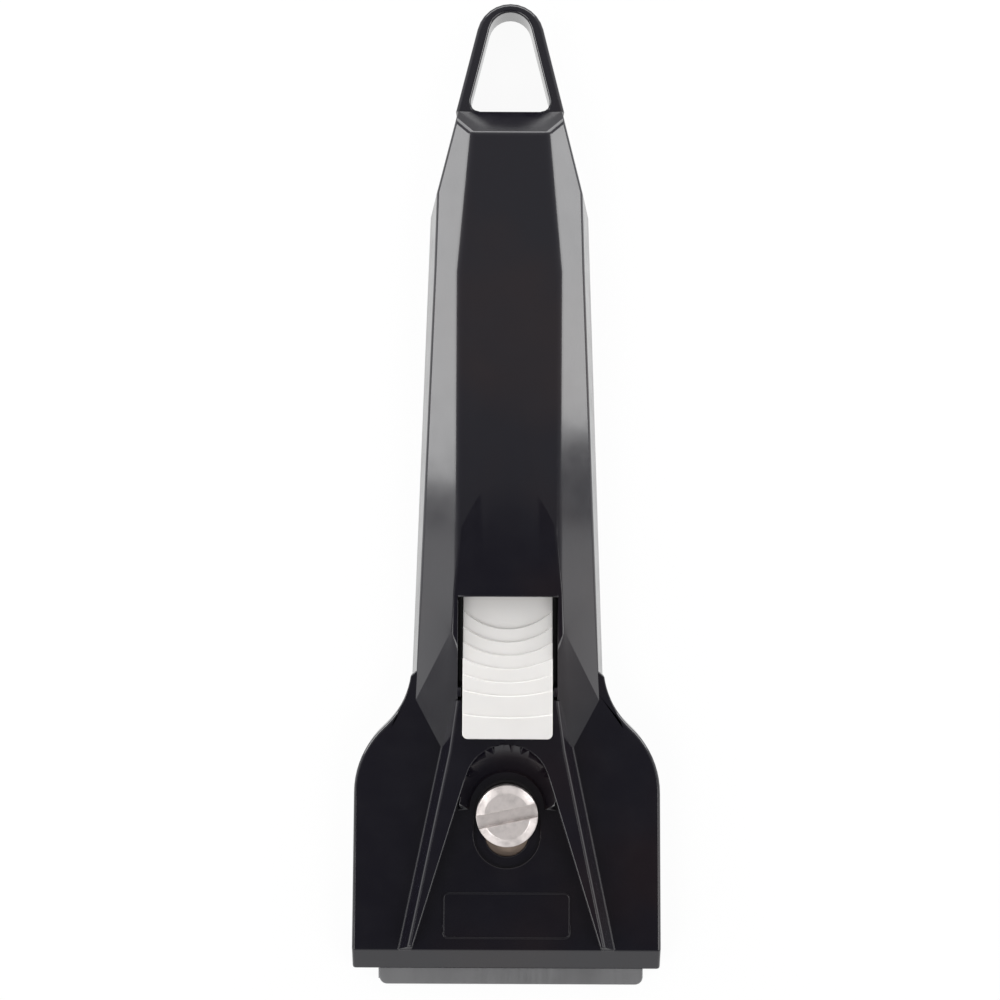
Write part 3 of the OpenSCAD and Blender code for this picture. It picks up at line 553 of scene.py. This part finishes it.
class SCRAPER_OT_stage(bpy.types.Operator):
    """Floor, light and camera"""

    bl_idname = "scraper.stage"
    bl_label = "Stage"

    def execute(self, context):
        scene = context.scene
        scene.view_settings.view_transform = "Standard"
        self.add_floor(scene)
        self.add_world(scene)
        self.add_camera(scene)
        for name, place, target, width, height, power in (
            ("side_light_left", (-135, 50, 40), (0, 50, 40), 92, 84, 0.16),
            ("side_light_right", (135, 56, 40), (0, 56, 40), 84, 84, 0.146),
            ("low_light_left", (-135, -55, 28), (0, -55, 28), 100, 60, 0.022),
            ("low_light_right", (135, -55, 28), (0, -55, 28), 100, 60, 0.022),
            ("end_light", (0, 190, 26), (0, 60, 26), 220, 60, 0.2),
            ("key_light_left", (-380, -330, 600), (0, 0, 0), 350, 350, 1.8),
            ("key_light_right", (420, -260, 620), (0, 0, 0), 350, 350, 1.4),
        ):
            self.add_light(scene, name, Vector(place), Vector(target), width, height, power)
        return {"FINISHED"}

    def add_floor(self, scene):
        """A floor that is seen nearly white and keeps a faint shadow."""
        bm = bmesh.new()
        bmesh.ops.create_grid(bm, x_segments=1, y_segments=1, size=3)
        mesh = bpy.data.meshes.new("floor")
        bm.to_mesh(mesh)
        bm.free()
        shader = Shader("floor_white", colours().floor, 0.9)
        shader.surface.inputs["Specular IOR Level"].default_value = 0.0
        tree = shader.tree
        rays = shader.add("ShaderNodeLightPath").outputs
        seen = rays["Is Camera Ray"]
        for ray in ("Is Glossy Ray", "Is Transmission Ray"):
            either = shader.add("ShaderNodeMath", operation="MAXIMUM")
            shader.link(seen, either.inputs[0])
            shader.link(rays[ray], either.inputs[1])
            seen = either.outputs[0]
        share = shader.add("ShaderNodeMath", operation="MULTIPLY")
        share.inputs[1].default_value = FLOOR_GLOW
        shader.link(seen, share.inputs[0])
        glow = shader.add("ShaderNodeEmission")
        glow.inputs["Color"].default_value = (1, 1, 1, 1)
        glow.inputs["Strength"].default_value = 1.0
        both = shader.add("ShaderNodeMixShader")
        shader.link(share.outputs[0], both.inputs[0])
        shader.link(shader.surface.outputs[0], both.inputs[1])
        shader.link(glow.outputs[0], both.inputs[2])
        shader.link(both.outputs[0], tree.nodes["Material Output"].inputs["Surface"])
        mesh.materials.append(shader.material)
        floor = bpy.data.objects.new("floor", mesh)
        scene.collection.objects.link(floor)

    def add_world(self, scene):
        """A white horizon and a dim ceiling, darker over the head than over the grip."""
        world = bpy.data.worlds.new("studio")
        world.use_nodes = True
        tree = world.node_tree
        direction = tree.nodes.new("ShaderNodeTexCoord")
        split = tree.nodes.new("ShaderNodeSeparateXYZ")
        tree.links.new(direction.outputs["Generated"], split.inputs[0])

        def ramp(axis, low, high, to_low, to_high):
            node = tree.nodes.new("ShaderNodeMapRange")
            node.interpolation_type = "SMOOTHSTEP"
            numbers = {"From Min": low, "From Max": high, "To Min": to_low, "To Max": to_high}
            for name, number in numbers.items():
                node.inputs[name].default_value = number
            tree.links.new(split.outputs[axis], node.inputs["Value"])
            return node.outputs["Result"]

        ceiling = tree.nodes.new("ShaderNodeMix")
        tree.links.new(ramp("Z", 0.35, 0.9, 0, 1), ceiling.inputs["Factor"])
        ceiling.inputs["A"].default_value = 1.0
        tree.links.new(ramp("Y", -0.09, 0.05, 0.12, 0.5), ceiling.inputs["B"])
        tree.links.new(ceiling.outputs["Result"], tree.nodes["Background"].inputs["Color"])
        tree.nodes["Background"].inputs["Strength"].default_value = 1.0
        scene.world = world

    def add_camera(self, scene):
        """The photograph's camera, straight above."""
        s = sizes()
        data = bpy.data.cameras.new("photo_camera")
        data.sensor_fit = "HORIZONTAL"
        data.sensor_width = 36
        data.lens = 36 * s.camera_height / s.frame_width
        data.clip_start = 10 * MM
        camera = bpy.data.objects.new("photo_camera", data)
        camera.location = (-1.27 * MM, -0.48 * MM, s.camera_height)
        camera.rotation_euler = (0, 0, s.camera_turn)
        scene.collection.objects.link(camera)
        scene.camera = camera

    def add_light(self, scene, name, place, target, width, height, power):
        """A soft rectangular light that faces its target, with places and sizes in millimetres."""
        data = bpy.data.lights.new(name, "AREA")
        data.shape = "RECTANGLE"
        data.size = width * MM
        data.size_y = height * MM
        data.energy = power
        light = bpy.data.objects.new(name, data)
        light.location = place * MM
        light.rotation_euler = (target - place).to_track_quat("-Z", "Y").to_euler()
        light.visible_camera = False
        scene.collection.objects.link(light)


class SCRAPER_PT_panel(bpy.types.Panel):
    """Sizes, colours and pieces of the scraper"""

    bl_idname = "SCRAPER_PT_panel"
    bl_label = "Ceramic hob scraper"
    bl_space_type = "VIEW_3D"
    bl_region_type = "UI"
    bl_category = "Scraper"

    def draw(self, context):
        for group in (context.scene.scraper_sizes, context.scene.scraper_colours):
            box = self.layout.box()
            for name in group.bl_rna.properties.keys():
                if name not in ("rna_type", "name"):
                    box.prop(group, name)
        for operator in PIECES:
            self.layout.operator(operator.bl_idname)


PIECES = (
    SCRAPER_OT_handle_shell, SCRAPER_OT_rear_cover, SCRAPER_OT_clamp, SCRAPER_OT_mouth, SCRAPER_OT_slider,
    SCRAPER_OT_stage)
CLASSES = (ScraperSizes, ScraperColours, *PIECES, SCRAPER_PT_panel)


def register():
    for cls in CLASSES:
        bpy.utils.register_class(cls)
    bpy.types.Scene.scraper_sizes = PointerProperty(type=ScraperSizes)
    bpy.types.Scene.scraper_colours = PointerProperty(type=ScraperColours)


def unregister():
    del bpy.types.Scene.scraper_colours
    del bpy.types.Scene.scraper_sizes
    for cls in reversed(CLASSES):
        bpy.utils.unregister_class(cls)


def main():
    register()
    bpy.ops.scraper.handle_shell()
    bpy.ops.scraper.rear_cover()
    bpy.ops.scraper.clamp()
    bpy.ops.scraper.mouth()
    bpy.ops.scraper.slider()
    bpy.ops.scraper.stage()


if __name__ == "__main__":
    main()
